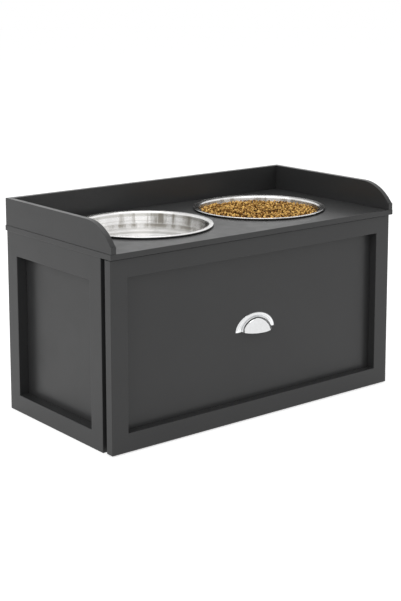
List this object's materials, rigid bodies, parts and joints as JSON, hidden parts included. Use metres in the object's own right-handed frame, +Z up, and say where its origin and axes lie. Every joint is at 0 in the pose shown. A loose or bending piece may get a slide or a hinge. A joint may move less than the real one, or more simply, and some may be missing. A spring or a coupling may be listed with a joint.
{
  "type": "elevated dog feeder with storage drawer",
  "caption": "Raised pet feeder cabinet with drop-in steel bowls, low guard rails and a full-width storage drawer on ball slides.",
  "frame": {"origin": "on the floor under the centre of the outline", "axes": "+X to the right of someone facing the drawer, +Y to the back, +Z up; the drawer opens towards -Y"},
  "size_m": [0.6, 0.307, 0.36],
  "materials": {
    "painted_board": "satin charcoal paint on fibreboard",
    "drawer_board": "matt charcoal paint on fibreboard",
    "zinc_steel": "zinc plated",
    "black_screw": "black phosphate",
    "cast_zinc": "as cast zinc alloy",
    "beech": "plain beech",
    "rail_steel": "zinc plated, bright",
    "ball_cage": "plain steel",
    "chrome_pull": "bright chrome",
    "bowl_steel": "polished stainless steel",
    "kibble": "dry golden-brown pellets"
  },
  "bodies": {
    "cabinet": {"top_board": "painted_board", "left_guard": "painted_board", "right_guard": "painted_board", "back_guard": "painted_board", "left_side_frame": "painted_board", "right_side_frame": "painted_board", "left_side_panel": "painted_board", "right_side_panel": "painted_board", "back_panel": "painted_board", "bottom_panel": "painted_board", "guard_screws": "zinc_steel", "angle_brackets": "zinc_steel", "bracket_screws": "zinc_steel", "back_screws": "black_screw", "cam_bolts": "zinc_steel", "cam_locks": "cast_zinc", "bottom_dowels": "beech", "left_slide_cabinet_rail": "rail_steel", "right_slide_cabinet_rail": "rail_steel", "cabinet_rail_screws": "zinc_steel"},
    "drawer": {"left_slide_drawer_rail": "rail_steel", "right_slide_drawer_rail": "rail_steel", "drawer_rail_screws": "zinc_steel", "drawer_front_frame": "painted_board", "drawer_front_panel": "painted_board", "drawer_left_side": "drawer_board", "drawer_right_side": "drawer_board", "drawer_back": "drawer_board", "drawer_bottom": "drawer_board", "drawer_cam_bolts": "zinc_steel", "drawer_cam_locks": "cast_zinc", "drawer_dowels": "beech", "drawer_back_screws": "zinc_steel", "cup_pull": "chrome_pull", "pull_screws": "zinc_steel"},
    "middle_rails": {"left_slide_middle_rail": "rail_steel", "right_slide_middle_rail": "rail_steel"},
    "outer_cages": {"outer_ball_cages": "ball_cage"},
    "inner_cages": {"inner_ball_cages": "ball_cage"},
    "left_bowl_lifts": {"left_bowl": "bowl_steel"},
    "right_bowl_lifts": {"right_bowl": "bowl_steel", "kibble": "kibble"}
  },
  "joints": [
    {"name": "drawer_slide", "type": "slide", "parent": "cabinet", "child": "drawer", "axis": [0, -1, 0], "range_m": [0, 0.25]},
    {"name": "middle_rail_slide", "type": "slide", "parent": "cabinet", "child": "middle_rails", "axis": [0, -1, 0], "range_m": [0, 0.125]},
    {"name": "outer_cage_slide", "type": "slide", "parent": "cabinet", "child": "outer_cages", "axis": [0, -1, 0], "range_m": [0, 0.0625]},
    {"name": "inner_cage_slide", "type": "slide", "parent": "cabinet", "child": "inner_cages", "axis": [0, -1, 0], "range_m": [0, 0.1875]},
    {"name": "left_bowl_lift", "type": "slide", "parent": "cabinet", "child": "left_bowl_lifts", "axis": [0, 0, 1], "range_m": [0, 0.12]},
    {"name": "right_bowl_lift", "type": "slide", "parent": "cabinet", "child": "right_bowl_lifts", "axis": [0, 0, 1], "range_m": [0, 0.12]}
  ],
  "couplings": [
    {"joint": "middle_rail_slide", "follows": "drawer_slide", "ratio": 0.5},
    {"joint": "outer_cage_slide", "follows": "drawer_slide", "ratio": 0.25},
    {"joint": "inner_cage_slide", "follows": "drawer_slide", "ratio": 0.75}
  ]
}
